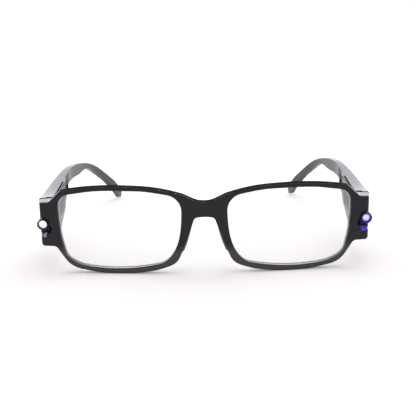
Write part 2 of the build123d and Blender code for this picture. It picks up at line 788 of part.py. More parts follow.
def led_wire():
    """The wire from the switch over the cells and down to the lamp's anode leg."""
    leg_top = lamp_z + led_leg_spacing / 2 + led_leg_size / 2
    path = FilletPolyline((lamp_x, switch_front_y, wire_z), (lamp_x, wire_drop_y, wire_z),
                          (lamp_x, wire_drop_y, leg_top), radius=wire_bend_radius)
    section = Plane((lamp_x, switch_front_y, wire_z), x_dir=(1, 0, 0), z_dir=(0, -1, 0)) * Circle(wire_radius)
    return sweep(section, path)


def switch_body():
    """The slide switch's housing with the slot and chamber of its knob."""
    half = switch_height / 2
    body = block(switch_face_x, switch_face_x + switch_depth, switch_front_y, switch_front_y + switch_length,
                 switch_z - half, switch_z + half)
    middle = switch_front_y + switch_length / 2
    slot_half = (knob_neck_length + switch_travel) / 2 + switch_gap
    slot = block(switch_face_x - overrun, switch_face_x + 2 * switch_wall, middle - slot_half, middle + slot_half,
                 knob_z - knob_neck_height / 2 - switch_gap, knob_z + knob_neck_height / 2 + switch_gap)
    foot_half = (knob_foot_length + switch_travel) / 2 + switch_gap
    chamber = block(switch_face_x + switch_wall, switch_face_x + switch_wall + knob_foot_depth + 2 * switch_gap,
                    middle - foot_half, middle + foot_half, knob_z - knob_foot_height / 2 - switch_gap,
                    knob_z + knob_foot_height / 2 + switch_gap)
    return body - slot - chamber


def switch_knob():
    """The sliding knob at the forward end of its travel: ridged top, neck and foot."""
    y = switch_front_y + switch_length / 2 - switch_travel / 2
    top_x = switch_zone_inner_x - knob_proud
    knob = block(top_x, switch_face_x - switch_gap, y - knob_length / 2, y + knob_length / 2,
                 knob_z - knob_height / 2, knob_z + knob_height / 2)
    knob = fillet(knob.faces().sort_by(Axis.X)[0].edges(), screw_slot_depth / 2)
    neck = block(switch_face_x - switch_gap, switch_face_x + switch_wall + switch_gap, y - knob_neck_length / 2,
                 y + knob_neck_length / 2, knob_z - knob_neck_height / 2, knob_z + knob_neck_height / 2)
    foot_x = switch_face_x + switch_wall + switch_gap
    foot = block(foot_x, foot_x + knob_foot_depth, y - knob_foot_length / 2, y + knob_foot_length / 2,
                 knob_z - knob_foot_height / 2, knob_z + knob_foot_height / 2)
    return knob + neck + foot


def side_nodes():
    """Every piece of the left side, by name."""
    body = temple_body()
    return {
        "lens": lens(),
        "front_hinge_leaf": front_hinge_leaf(),
        "temple_hinge_leaf": temple_hinge_leaf(),
        "hinge_screw": hinge_screw(),
        "temple_shell": temple_shell(body),
        "battery_cover": battery_cover(body),
        "cover_screw": cover_screw(),
        "battery_cell_front": battery_cell(cell_places()[0]),
        "battery_cell_rear": battery_cell(cell_places()[1]),
        "negative_contact": negative_contact(),
        "positive_contact": positive_contact(),
        "led": led(),
        "led_sleeve": led_sleeve(),
        "led_wire": led_wire(),
        "switch_body": switch_body(),
        "switch_knob": switch_knob(),
    }


def main():
    os.makedirs("parts", exist_ok=True)
    nodes = {"front_frame": front_frame()}
    for name, shape in side_nodes().items():
        nodes["left_" + name] = shape
        nodes["right_" + name] = mirror(shape, Plane.YZ)
    box = BoundBox(nodes["front_frame"].bounding_box().wrapped)
    for shape in nodes.values():
        box = box.add(shape.bounding_box())
    shift_y = -(box.min.Y + box.max.Y) / 2
    print("whole box", box.min, box.max, "shift y", shift_y)
    print("hinge axis", hinge_x, hinge_y + shift_y, hinge_z)
    for name, shape in nodes.items():
        export_step(Pos(0, shift_y, 0) * shape, os.path.join("parts", name + ".step"))


if __name__ == "__main__":
    main()
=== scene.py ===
import logging
import math
from dataclasses import dataclass
from enum import Enum
from typing import Any, Callable, Sequence

import bmesh
import bpy
import numpy as np
from mathutils import Matrix, Vector
from mathutils.bvhtree import BVHTree


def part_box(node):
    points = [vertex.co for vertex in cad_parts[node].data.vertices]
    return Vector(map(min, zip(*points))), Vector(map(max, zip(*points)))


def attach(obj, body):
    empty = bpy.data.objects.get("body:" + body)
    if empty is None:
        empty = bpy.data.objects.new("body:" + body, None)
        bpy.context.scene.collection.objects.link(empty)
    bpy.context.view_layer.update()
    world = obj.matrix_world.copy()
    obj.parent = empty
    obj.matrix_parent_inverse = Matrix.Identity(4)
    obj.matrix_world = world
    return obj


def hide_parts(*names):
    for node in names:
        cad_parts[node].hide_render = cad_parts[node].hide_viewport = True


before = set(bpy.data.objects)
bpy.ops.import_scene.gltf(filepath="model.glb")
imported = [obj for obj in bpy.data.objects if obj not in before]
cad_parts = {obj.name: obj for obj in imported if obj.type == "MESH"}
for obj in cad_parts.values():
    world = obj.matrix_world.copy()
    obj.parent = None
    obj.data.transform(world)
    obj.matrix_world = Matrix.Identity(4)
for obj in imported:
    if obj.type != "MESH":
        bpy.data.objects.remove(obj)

# Lighted magnifier glasses on a white table: a black moulded front, folding arms with a lamp at each
# endpiece, clear lenses, and the small metal parts at the hinges. Sizes are in millimetres, and one
# factor turns them into the metres of the row frame.

log = logging.getLogger("glasses")
MM = 0.001
PHOTO_WIDTH, PHOTO_HEIGHT = 416, 408
FRONT_BOW_RADIUS_MM = 450.0
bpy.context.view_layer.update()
Socket = bpy.types.NodeSocket
Material = bpy.types.Material
Colour = tuple[float, float, float, float]
Place = tuple[float, float, float]
Span = tuple[float, float]
Spot = tuple[float | np.ndarray, float | np.ndarray]
Move = Callable[[np.ndarray], np.ndarray]
FaceTest = Callable[[bpy.types.MeshPolygon], bool]


class Side(Enum):
    """The wearer's two sides, as the prefix of their pieces' names."""

    LEFT = "left_"
    RIGHT = "right_"

    @property
    def sign(self) -> int:
        """The direction of this side along X."""
        return 1 if self is Side.LEFT else -1


def linear(hex_colour: str) -> Colour:
    """Turns an sRGB hex colour into linear light, by the curve of the sRGB standard.

    Args:
        hex_colour: six hex digits with a leading hash.

    Returns:
        Red, green and blue in linear light, and an alpha of one.
    """
    channels = [int(hex_colour[i:i + 2], 16) / 255 for i in (1, 3, 5)]
    red, green, blue = [c / 12.92 if c <= 0.04045 else ((c + 0.055) / 1.055) ** 2.4 for c in channels]
    return (red, green, blue, 1.0)


def per_metre(size_mm: float) -> float:
    """The pattern scale at which one cell of a noise is as wide as a real size in millimetres."""
    return 1.0 / (size_mm * MM)


def from_front(front_y: float, place_mm: Place) -> Place:
    """A place measured from the front-most plane in millimetres, as metres of the row frame."""
    return (place_mm[0] * MM, front_y + place_mm[1] * MM, place_mm[2] * MM)


class Graph:
    """A node tree under construction, with one helper that adds a node with its values and links."""

    def __init__(self, tree: bpy.types.NodeTree) -> None:
        """Takes a tree, empties it and adds its coordinates."""
        self.tree = tree
        tree.nodes.clear()
        self.coordinates = self.add("TexCoord").outputs
        self.place = self.coordinates["Object"]

    def add(self, kind: str, inputs: dict[Any, Any] | None = None, **settings: Any) -> bpy.types.Node:
        """Adds one node.

        Args:
            kind: the node's type without its "ShaderNode" prefix.
            inputs: socket name or number to a value, or to another node's output socket.
            settings: properties of the node itself.

        Returns:
            The new node.
        """
        node = self.tree.nodes.new("ShaderNode" + kind)
        for name, value in settings.items():
            setattr(node, name, value)
        for key, value in (inputs or {}).items():
            if isinstance(value, Socket):
                self.tree.links.new(value, node.inputs[key])
            else:
                node.inputs[key].default_value = value
        return node

    def math(self, operation: str, *values: Any) -> Socket:
        """One arithmetic step on numbers or sockets."""
        return self.add("Math", dict(enumerate(values)), operation=operation).outputs[0]

    def vector(self, operation: str, *values: Any) -> Socket:
        """One step on vectors that gives a vector."""
        return self.add("VectorMath", dict(enumerate(values)), operation=operation).outputs[0]

    def length(self, value: Any) -> Socket:
        """The length of a vector."""
        return self.add("VectorMath", {0: value}, operation="LENGTH").outputs["Value"]

    def ramp(self, value: Any, low: float, high: float, start: float = 0.0, end: float = 1.0) -> Socket:
        """A smooth step of a value from start to end between low and high."""
        return self.add("MapRange", {0: value, 1: low, 2: high, 3: start, 4: end},
                        interpolation_type="SMOOTHSTEP").outputs[0]

    def noise(self, place: Any, size_mm: float, detail: float = 2.0) -> Socket:
        """A noise whose cells have a real size."""
        inputs = {"Vector": place, "Scale": per_metre(size_mm), "Detail": detail}
        return self.add("TexNoise", inputs).outputs["Fac"]

    def blend(self, factor: Any, first: Any, second: Any) -> Socket:
        """A mix of two colours."""
        return self.add("Mix", {0: factor, 6: first, 7: second}, data_type="RGBA").outputs[2]

    def between(self, factor: Any, first: Any, second: Any) -> Socket:
        """A mix of two numbers."""
        return self.add("Mix", {0: factor, 2: first, 3: second}).outputs[0]

    def axes(self, place: Any) -> dict[str, Socket]:
        """A place's three coordinates by their letters."""
        node = self.add("SeparateXYZ", {0: place})
        return {letter: node.outputs[letter] for letter in "XYZ"}

    def skin(self, inputs: dict[Any, Any]) -> bpy.types.Node:
        """Adds the Principled shader and wires it to the material's output.

        Args:
            inputs: the shader's values and sockets.

        Returns:
            The shader's node.
        """
        node = self.add("BsdfPrincipled", inputs)
        self.add("OutputMaterial", {"Surface": node.outputs["BSDF"]})
        return node


def new_material(name: str) -> tuple[Material, Graph]:
    """An empty node material and its graph."""
    material = bpy.data.materials.new(name)
    material.use_nodes = True
    return material, Graph(material.node_tree)


@dataclass(frozen=True)
class Glow:
    """Light that a lamp throws on the plastic near it: a soft patch with half sizes along X, Y and Z."""

    place: Place
    half_sizes_mm: Place
    colour: str
    strength: float
    full_share: float = 0.6

    def light(self, g: Graph) -> Socket:
        """The patch's light, full near its middle and gone at the ends of its half sizes.

        Args:
            g: the material's graph.

        Returns:
            The light's colour.
        """
        arm = g.vector("SUBTRACT", g.place, self.place)
        reach = g.length(g.vector("MULTIPLY", arm, tuple(per_metre(size) for size in self.half_sizes_mm)))
        fade = g.ramp(reach, self.full_share, 1.0, self.strength, 0.0)
        return g.add("VectorMath", {0: linear(self.colour)[:3], "Scale": fade}, operation="SCALE").outputs[0]


@dataclass(frozen=True)
class Polish:
    """Where the front's skin is polished: behind its face, at its lower half and on its endpieces' tops.

    The face bows round an upright cylinder, so depth is measured from the bowed face:
    depth = y - front_y - x * x / (2 * bow radius).
    """

    front_y: float
    behind_mm: Span = (3.1, 3.5)
    lower_mm: Span = (8.0, 13.0)
    endpiece_x_mm: Span = (61.0, 62.5)
    endpiece_depth_mm: Span = (0.5, 0.8)
    edge_start_mm: Span = (0.08, 0.25)
    edge_end_mm: Span = (0.5, 0.75)

    def mask(self, g: Graph) -> Socket:
        """Tells polished skin from satin.

        Args:
            g: the material's graph.

        Returns:
            One where the skin is polished, none where it is satin.
        """
        axes = g.axes(g.place)
        bow = g.math("MULTIPLY", g.math("POWER", axes["X"], 2.0), 0.5 / (FRONT_BOW_RADIUS_MM * MM))
        depth = g.math("SUBTRACT", g.math("SUBTRACT", axes["Y"], self.front_y), bow)
        behind = self._step(g, depth, self.behind_mm)
        lower = g.math("SUBTRACT", 1.0, self._step(g, axes["Z"], self.lower_mm))
        outer = self._step(g, g.math("ABSOLUTE", axes["X"]), self.endpiece_x_mm)
        top = g.math("MULTIPLY", outer, self._step(g, depth, self.endpiece_depth_mm))
        edge = g.math("SUBTRACT", self._step(g, depth, self.edge_start_mm),
                      self._step(g, depth, self.edge_end_mm))
        wide = g.math("MAXIMUM", g.math("MAXIMUM", behind, lower), top)
        return g.math("MAXIMUM", wide, edge)

    @staticmethod
    def _step(g: Graph, value: Socket, ends_mm: Span) -> Socket:
        """A smooth step between two sizes in millimetres."""
        return g.ramp(value, ends_mm[0] * MM, ends_mm[1] * MM)


@dataclass(frozen=True)
class Fade:
    """How the arms' shine dies away from the hinge to the tip, where the skin is handled and dull."""

    start_y: float
    end_y: float

    def mask(self, g: Graph) -> Socket:
        """One at the hinge, none at the tip."""
        return g.ramp(g.axes(g.place)["Y"], self.start_y, self.end_y, 1.0, 0.0)


@dataclass(frozen=True)
class Slit:
    """The dull strip along the arm's upper inner edge, over the battery cover."""

    x_mm: Span
    y_mm: Span
    z_mm: Span
    soft_mm: float = 0.12

    def mask(self, g: Graph) -> Socket:
        """Tells the strip from the skin round it.

        Args:
            g: the material's graph.

        Returns:
            One inside the strip, none outside it.
        """
        axes, soft = g.axes(g.place), self.soft_mm * MM
        total: Any = 1.0
        for value, (low, high) in ((g.math("ABSOLUTE", axes["X"]), self.x_mm), (axes["Y"], self.y_mm),
                                   (axes["Z"], self.z_mm)):
            total = g.math("MULTIPLY", total, g.ramp(value, low * MM - soft, low * MM + soft))
            total = g.math("MULTIPLY", total, g.ramp(value, high * MM - soft, high * MM + soft, 1.0, 0.0))
        return total


@dataclass(frozen=True)
class MouldedPlastic:
    """Injection moulded plastic: a smooth skin with a faint ripple and soft edges, polished in one zone."""

    name: str
    colour: str
    worn_colour: str
    roughness: float
    coat: float = 0.0
    coat_roughness: float = 0.06
    coat_ior: float = 1.5
    ior: float = 1.49
    specular: float = 0.5
    zone: Polish | Fade | None = None
    satin_roughness: float = 0.5
    edge_mm: float = 0.0
    edge_samples: int = 6
    ripple_mm: float = 1.8
    ripple_depth_mm: float = 0.004
    slit: Slit | None = None
    slit_roughness: float = 0.95
    smear_mm: float = 14.0
    smear: float = 0.04
    smear_span: Span = (0.35, 0.65)
    glows: tuple[Glow, ...] = ()

    def material(self) -> Material:
        """The finish as a node material."""
        material, g = new_material(self.name)
        smear = g.noise(g.place, self.smear_mm, 3.0)
        rough: Any = g.ramp(smear, *self.smear_span, self.roughness - self.smear, self.roughness + self.smear)
        coat: Any = self.coat
        if self.zone is not None:
            polish = self.zone.mask(g)
            rough = g.between(polish, self.satin_roughness, rough)
            coat = g.math("MULTIPLY", polish, self.coat)
        tone = g.blend(smear, linear(self.colour), linear(self.worn_colour))
        if self.slit is not None:
            shade = self.slit.mask(g)
            coat = g.math("MULTIPLY", coat, g.math("SUBTRACT", 1.0, shade))
            rough = g.between(shade, rough, self.slit_roughness)
        skin = g.skin({
            "Base Color": tone, "Roughness": rough, "IOR": self.ior, "Normal": self._normal(g),
            "Specular IOR Level": self.specular, "Coat Weight": coat, "Coat Roughness": self.coat_roughness,
            "Coat IOR": self.coat_ior})
        self._add_glows(g, skin)
        return material

    def _normal(self, g: Graph) -> Socket:
        """The skin's ripple, over edges that catch the light as if rounded.

        Args:
            g: the material's graph.

        Returns:
            The normal.
        """
        ripple = g.noise(g.place, self.ripple_mm, 1.0)
        inputs: dict[Any, Any] = {"Height": ripple, "Strength": 1.0, "Distance": self.ripple_depth_mm * MM}
        if self.edge_mm:
            bevel = g.add("Bevel", {"Radius": self.edge_mm * MM}, samples=self.edge_samples)
            inputs["Normal"] = bevel.outputs["Normal"]
        return g.add("Bump", inputs).outputs["Normal"]

    def _add_glows(self, g: Graph, skin: bpy.types.Node) -> None:
        """Adds the lamps' spill as emission.

        Args:
            g: the material's graph.
            skin: the Principled shader that gets the emission.
        """
        if not self.glows:
            return
        total: Any = (0.0, 0.0, 0.0)
        for glow in self.glows:
            total = g.vector("ADD", total, glow.light(g))
        g.tree.links.new(total, skin.inputs["Emission Color"])
        skin.inputs["Emission Strength"].default_value = 1.0


@dataclass(frozen=True)
class PlatedMetal:
    """Nickel plated or bare rolled metal: fine brushing along one axis and a slightly uneven shine."""

    name: str
    colour: str
    roughness: float
    brush_mm: Place = (0.05, 1.0, 0.05)
    brush_depth_mm: float = 0.002
    brush_span: Span = (0.2, 0.8)
    shine_shares: Span = (0.7, 1.3)

    def material(self) -> Material:
        """The finish as a node material."""
        material, g = new_material(self.name)
        along = g.add("Mapping", {"Vector": g.place, "Scale": tuple(per_metre(s) for s in self.brush_mm)})
        brush = g.add("TexNoise", {"Vector": along.outputs[0], "Scale": 1.0, "Detail": 2.0}).outputs["Fac"]
        rough = g.ramp(brush, *self.brush_span, *(self.roughness * share for share in self.shine_shares))
        bump = g.add("Bump", {"Height": brush, "Strength": 1.0, "Distance": self.brush_depth_mm * MM})
        g.skin({"Base Color": linear(self.colour), "Metallic": 1.0, "Roughness": rough,
                "Normal": bump.outputs["Normal"]})
        return material


@dataclass(frozen=True)
class ClearLens:
    """Cast clear resin, polished: it hardly tints what lies behind it and mirrors the room a little."""

    name: str
    colour: str
    roughness: float
    alpha: float
    ior: float = 1.5
    haze_mm: float = 20.0
    haze_span: Span = (0.3, 0.7)

    def material(self) -> Material:
        """The finish as a node material."""
        material, g = new_material(self.name)
        rough = g.ramp(g.noise(g.place, self.haze_mm), *self.haze_span, self.roughness, self.roughness * 2)
        g.skin({"Base Color": linear(self.colour), "Roughness": rough, "IOR": self.ior, "Alpha": self.alpha})
        return material


@dataclass(frozen=True)
class LitResin:
    """Clear cast resin of a lit lamp: it shines from its middle, and its rim takes the light's colour."""

    name: str
    core_colour: str
    rim_colour: str
    edge_colour: str
    centre: Place
    radius_mm: float
    cloud_colour: str
    cloud_mm: float = 0.8
    cloud_span: Span = (0.42, 0.6)
    rim_shares: Span = (0.55, 0.85)
    edge_shares: Span = (0.85, 1.02)
    body_colour: Colour = (0.02, 0.02, 0.02, 1.0)
    roughness: float = 0.08
    ior: float = 1.54

    def material(self) -> Material:
        """The finish as a node material, whose emission goes from core to rim away from the axis."""
        material, g = new_material(self.name)
        flat = g.vector("MULTIPLY", g.vector("SUBTRACT", g.place, self.centre), (1.0, 0.0, 1.0))
        reach = g.length(flat)
        rim, edge = ([share * self.radius_mm * MM for share in shares]
                     for shares in (self.rim_shares, self.edge_shares))
        cloud = g.ramp(g.noise(flat, self.cloud_mm), *self.cloud_span)
        core = g.blend(cloud, linear(self.core_colour), linear(self.cloud_colour))
        inner = g.blend(g.ramp(reach, *rim), core, linear(self.rim_colour))
        tone = g.blend(g.ramp(reach, *edge), inner, linear(self.edge_colour))
        g.skin({"Base Color": self.body_colour, "Roughness": self.roughness, "IOR": self.ior,
                "Emission Color": tone, "Emission Strength": 1.0})
        return material


def place_mesh(name: str, mesh: bpy.types.Mesh, sharp_degrees: float) -> bpy.types.Object:
    """Shades a mesh smooth up to a sharp angle and puts it into the scene.

    Args:
        name: the piece's name.
        mesh: its mesh.
        sharp_degrees: edges that bend more than this stay sharp.

    Returns:
        The new object, at the origin.
    """
    mesh.shade_smooth()
    mesh.set_sharp_from_angle(angle=math.radians(sharp_degrees))
    piece = bpy.data.objects.new(name, mesh)
    bpy.context.scene.collection.objects.link(piece)
    return piece


def add_mesh(name: str, points: np.ndarray, faces: Sequence[Sequence[int]], material: Material,
             sharp_degrees: float = 35.0) -> bpy.types.Object:
    """A new piece from points and faces, smooth up to a sharp angle.

    Args:
        name: the piece's name.
        points: its points in millimetres, in the row frame.
        faces: its faces, as numbers of points.
        material: its finish.
        sharp_degrees: edges that bend more than this stay sharp.

    Returns:
        The new object, at the origin.
    """
    mesh = bpy.data.meshes.new(name)
    mesh.from_pydata((points * MM).tolist(), [], [list(face) for face in faces])
    mesh.materials.append(material)
    return place_mesh(name, mesh, sharp_degrees)


def grid_faces(rows: int, columns: int, closed: bool) -> list[Sequence[int]]:
    """The quads of a grid of points, its columns joined up round if closed."""
    row, column = np.indices((rows - 1, columns if closed else columns - 1))
    corner, beside = row * columns + column, row * columns + (column + 1) % columns
    return np.stack([corner, beside, beside + columns, corner + columns], axis=-1).reshape(-1, 4).tolist()


def turned(name: str, profile: Sequence[Span], centre: Place, axis: int, material: Material,
           segments: int = 72, capped: bool = True) -> bpy.types.Object:
    """A turned piece: a profile swept round an axis.

    Args:
        name: the piece's name.
        profile: radius and height along the axis, in millimetres, in order.
        centre: the axis's point of height zero, in millimetres.
        axis: 0 for X, 1 for Y, 2 for Z.
        material: the finish.
        segments: points round the axis.
        capped: whether flat faces close the first and last ring. A ring's profile ends where it starts.

    Returns:
        The new object.
    """
    turn = np.linspace(0.0, 2.0 * math.pi, segments, endpoint=False)
    first, second = [i for i in range(3) if i != axis]
    radius, height = np.array(profile).T[:, :, None]
    rings = np.zeros((len(profile), segments, 3))
    rings[:, :, first] = radius * np.cos(turn)
    rings[:, :, second] = radius * np.sin(turn)
    rings[:, :, axis] = height
    faces = grid_faces(len(profile), segments, True)
    if capped:
        faces.append(tuple(range(segments - 1, -1, -1)))
        faces.append(tuple(range((len(profile) - 1) * segments, len(profile) * segments)))
    return add_mesh(name, rings.reshape(-1, 3) + np.array(centre), faces, material)


def rounded(corner: Spot, start: Spot, end: Spot, steps: int = 6) -> list[Spot]:
    """A rounded corner of a profile, as a quadratic curve bent towards the corner.

    Args:
        corner: the sharp corner, as two numbers or two arrays of them.
        start: where the curve starts.
        end: where the curve ends.
        steps: how many points it has.

    Returns:
        The curve's points in order.
    """
    out = []
    for t in np.linspace(0.0, 1.0, steps):
        weights = ((1 - t) ** 2, 2 * t * (1 - t), t**2)
        out.append(tuple(sum(w * p[i] for w, p in zip(weights, (start, corner, end))) for i in range(2)))
    return out


def lofted(outline: Sequence[Spot], y: np.ndarray) -> tuple[np.ndarray, list[Sequence[int]]]:
    """A closed outline in X and Z that changes along Y, with a flat face at both ends.

    Args:
        outline: its corners in order, whose X and Z are one number or one for each station.
        y: the stations along Y.

    Returns:
        The points in millimetres, and the faces.
    """
    grid = np.stack([np.stack(np.broadcast_arrays(x, y, z), axis=-1) for x, z in outline], axis=1)
    rows, count = grid.shape[:2]
    faces = grid_faces(rows, count, True)
    faces += [tuple(range(count)), tuple(range((rows - 1) * count, rows * count))]
    return grid.reshape(-1, 3), faces


def box_points(low: Sequence[float], high: Sequence[float]) -> tuple[np.ndarray, list[Sequence[int]]]:
    """The corners and faces of a box."""
    points = np.array([(x, y, z) for x in (low[0], high[0]) for y in (low[1], high[1])
                       for z in (low[2], high[2])])
    return points, [(0, 1, 3, 2), (4, 6, 7, 5), (0, 4, 5, 1), (2, 3, 7, 6), (0, 2, 6, 4), (1, 5, 7, 3)]


def box_mm(node: str) -> tuple[np.ndarray, np.ndarray]:
    """The lowest and highest corner of a CAD node, in millimetres."""
    low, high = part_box(node)
    return np.array(low) / MM, np.array(high) / MM


def points_mm(mesh: bpy.types.Mesh) -> np.ndarray:
    """The points of a mesh as one array, in millimetres."""
    points = np.empty(len(mesh.vertices) * 3)
    mesh.vertices.foreach_get("co", points)
    return points.reshape(-1, 3) / MM


def dress(node: str, material: Material) -> None:
    """Gives a CAD node one finish on all its faces.

    Args:
        node: the CAD node.
        material: its finish.
    """
    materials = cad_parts[node].data.materials
    materials.clear()
    materials.append(material)
    log.info("dressed %s in %s", node, material.name)


def finish_faces(node: str, material: Material, chosen: FaceTest) -> None:
    """Gives some faces of a CAD node a second finish.

    Args:
        node: the CAD node, which has its first finish already.
        material: the second finish.
        chosen: tells for a face whether it gets the second finish.
    """
    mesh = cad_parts[node].data
    mesh.materials.append(material)
    second = [face for face in mesh.polygons if chosen(face)]
    for face in second:
        face.material_index = 1
    log.info("%s on %d faces of %s", material.name, len(second), node)


def skin_tree(node: str) -> BVHTree:
    """The skin of a CAD node, for straight lines to meet, in metres."""
    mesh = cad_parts[node].data
    return BVHTree.FromPolygons([v.co for v in mesh.vertices], [p.vertices for p in mesh.polygons])


def joint_walls(other: str, reach_mm: float) -> FaceTest:
    """A test for the walls of an open joint, which face another node closely.

    Args:
        other: the CAD node across the joint.
        reach_mm: the joint is at most this wide.

    Returns:
        The test.
    """
    tree = skin_tree(other)
    sideways, off_face_m = 0.7, 1e-6

    def faces_other(face: bpy.types.MeshPolygon) -> bool:
        """Whether a face that doesn't look sideways has the other node close before it."""
        start = face.center + face.normal * off_face_m
        return (abs(face.normal.x) <= sideways
                and tree.ray_cast(start, face.normal, reach_mm * MM)[0] is not None)

    return faces_other


def surface_point(node: str, start_mm: Place, direction: Place) -> Vector:
    """The first place of a CAD node's skin that a straight line meets, in millimetres."""
    return skin_tree(node).ray_cast(Vector(start_mm) * MM, Vector(direction))[0] / MM


@dataclass(frozen=True)
class Bump:
    """A smooth rise round one place: height * exp(-|(place - middle) / reach| ** power)."""

    middle: float
    height: float
    reach: float
    power: float = 2.0

    def at(self, places: np.ndarray) -> np.ndarray:
        """The rise at each of an array of places."""
        return self.height * np.exp(-np.abs((places - self.middle) / self.reach) ** self.power)


def smooth_step(share: np.ndarray) -> np.ndarray:
    """A smooth step of an array from none to one: 3 * share ** 2 - 2 * share ** 3."""
    clipped = np.clip(share, 0.0, 1.0)
    return clipped * clipped * (3.0 - 2.0 * clipped)


class RimEase:
    """Eases the rims and lenses to the photograph's rounder openings.

    Seen from before, each point moves along its ray from the lens's middle. At the opening's edge it moves
    by one sum of bumps over the ray's angle in degrees, at the rim's outer edge by another, and between them
    move = inner * (1 - share) + outer * share. The angle is 0 to the temple, 90 up and 180 to the nose.
    """

    middle_mm = (35.95, 19.75)
    tilt_degrees = 4.58
    depth_mm = 1.3
    widest_mm = 3.5
    inner = (Bump(206.0, -0.8, 12.0), Bump(264.0, 0.47, 38.0, 4.0), Bump(321.0, -0.75, 8.5),
             Bump(352.0, 0.28, 10.0), Bump(33.0, -0.68, 14.0), Bump(125.0, 0.28, 16.0))
    outer = (Bump(222.0, -1.0, 8.0), Bump(238.0, -0.3, 9.0), Bump(316.0, -0.62, 13.0),
             Bump(191.0, 0.45, 13.0), Bump(138.0, 0.6, 26.0))
    bridge_calm_mm = 6.0
    lens_calm_power = 4
    next_wall_m = 1e-5
    least_reach_mm = 1e-6

    def __init__(self) -> None:
        """Finds the rim's inner and outer edge at each degree, by straight lines across it."""
        tree = skin_tree("front_frame")
        tilt = math.radians(self.tilt_degrees)
        front_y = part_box("front_frame")[0].y / MM
        bow = self.middle_mm[0] ** 2 / (2.0 * FRONT_BOW_RADIUS_MM)
        start = Vector((self.middle_mm[0] - self.depth_mm * math.sin(tilt),
                        front_y + bow + self.depth_mm * math.cos(tilt), self.middle_mm[1])) * MM
        self.angles = np.arange(0.0, 361.0, 1.0)
        edges = []
        for angle in np.radians(self.angles):
            across = math.cos(angle)
            ray = Vector((across * math.cos(tilt), across * math.sin(tilt), math.sin(angle)))
            near = tree.ray_cast(start, ray)[0]
            far = tree.ray_cast(near + ray * self.next_wall_m, ray)[0]
            edges.append(((near - start).length / MM, (far - start).length / MM))
        self.inner_edge, self.outer_edge = np.array(edges).T

    def __call__(self, points: np.ndarray) -> np.ndarray:
        """The new places of points of the front or of a lens.

        Args:
            points: their places in millimetres.

        Returns:
            The new places, none under the table.
        """
        side = np.where(points[:, 0] < 0.0, -1.0, 1.0)
        across, up = np.abs(points[:, 0]) - self.middle_mm[0], points[:, 2] - self.middle_mm[1]
        reach = np.maximum(np.hypot(across, up), self.least_reach_mm)
        angle = np.degrees(np.arctan2(up, across)) % 360.0
        near = np.interp(angle, self.angles, self.inner_edge)
        band = np.minimum(np.interp(angle, self.angles, self.outer_edge) - near, self.widest_mm)
        share = smooth_step((reach - near) / band)
        inner, outer = (sum(bump.at(angle) for bump in bumps) for bumps in (self.inner, self.outer))
        calm = np.minimum(reach / near, 1.0) ** self.lens_calm_power
        move = (inner * (1.0 - share) + outer * share) * calm
        move *= smooth_step(np.abs(points[:, 0]) / self.bridge_calm_mm)
        out = points.copy()
        out[:, 0] += side * move * across / reach
        out[:, 2] = np.maximum(out[:, 2] + move * up / reach, np.minimum(points[:, 2], 0.0))
        return out


class ArmEase:
    """Eases the arms to the photograph's broader bend and tip.

    Behind the battery section the arm's upper edge rises, its lower edge sinks and its inner face moves
    inward, each by a size read between knots along Y: z = z + upper * t above the arm's middle line and
    z - lower * |t| under it, where t goes from 0 on the middle line to 1 at the edge.
    """

    along = np.array([50.0, 56.0, 62.0, 67.0, 72.0, 76.0, 82.0,
                      91.0, 97.0, 104.0, 112.0, 120.0, 126.0, 131.0])
    middle_z = np.array([29.6, 29.8, 30.0, 30.1, 30.0, 29.7, 28.6, 25.7, 22.8, 19.0, 13.7, 8.2, 4.5, 1.8])
    upper = np.array([0.0, 0.15, 0.35, 0.5, 0.4, 0.2, 0.0, -0.2, -0.1, 0.2, 0.6, 0.9, 0.6, 0.3])
    lower = np.array([0.0, 0.0, 0.0, 0.15, 0.8, 1.4, 1.35, 1.0, 1.1, 1.2, 0.8, -0.5, -1.1, 0.0])
    inward = np.array([0.0, 0.0, 0.0, 0.0, 0.0, 0.0, 0.0, 0.1, 0.2, 0.35, 0.4, 0.3, 0.1, 0.0])
    outer_along = np.array([19.9, 41.0, 63.6, 86.1, 107.3, 130.3])
    outer_in = np.array([0.0, 1.1, 3.9, 8.7, 14.8, 21.7])
    half_height_mm = 2.2
    thickness_mm = 2.4
    splay_mm = {Side.LEFT: 0.9, Side.RIGHT: 0.0}

    def __init__(self, side: Side, node: str) -> None:
        """Takes an arm's side, and its CAD node for its outer face."""
        self.side = side
        self.front_y = box_mm("front_frame")[0][1]
        self.outer_x = max(abs(corner[0]) for corner in box_mm(node))

    def __call__(self, points: np.ndarray) -> np.ndarray:
        """The new places of points of the arm.

        Args:
            points: their places in millimetres.

        Returns:
            The new places, none under the table.
        """
        place = points[:, 1] - self.front_y
        behind = place > self.along[0]
        middle, upper, lower, inward = (np.interp(place, self.along, knots)
                                        for knots in (self.middle_z, self.upper, self.lower, self.inward))
        t = np.clip((points[:, 2] - middle) / self.half_height_mm, -1.0, 1.0)
        rise = np.where(t > 0.0, upper * t, lower * t)
        outer_x = self.outer_x - np.interp(place, self.outer_along, self.outer_in)
        inner_share = smooth_step((outer_x - np.abs(points[:, 0])) / self.thickness_mm)
        share = smooth_step((place - self.along[0]) / (self.along[-1] - self.along[0]))
        splay = self.splay_mm[self.side] * share
        out = points.copy()
        out[:, 2] += np.where(behind, rise, 0.0)
        out[:, 0] += self.side.sign * np.where(behind, splay - inward * inner_share, 0.0)
        out[:, 2] = np.maximum(out[:, 2], np.minimum(points[:, 2], 0.0))
        return out


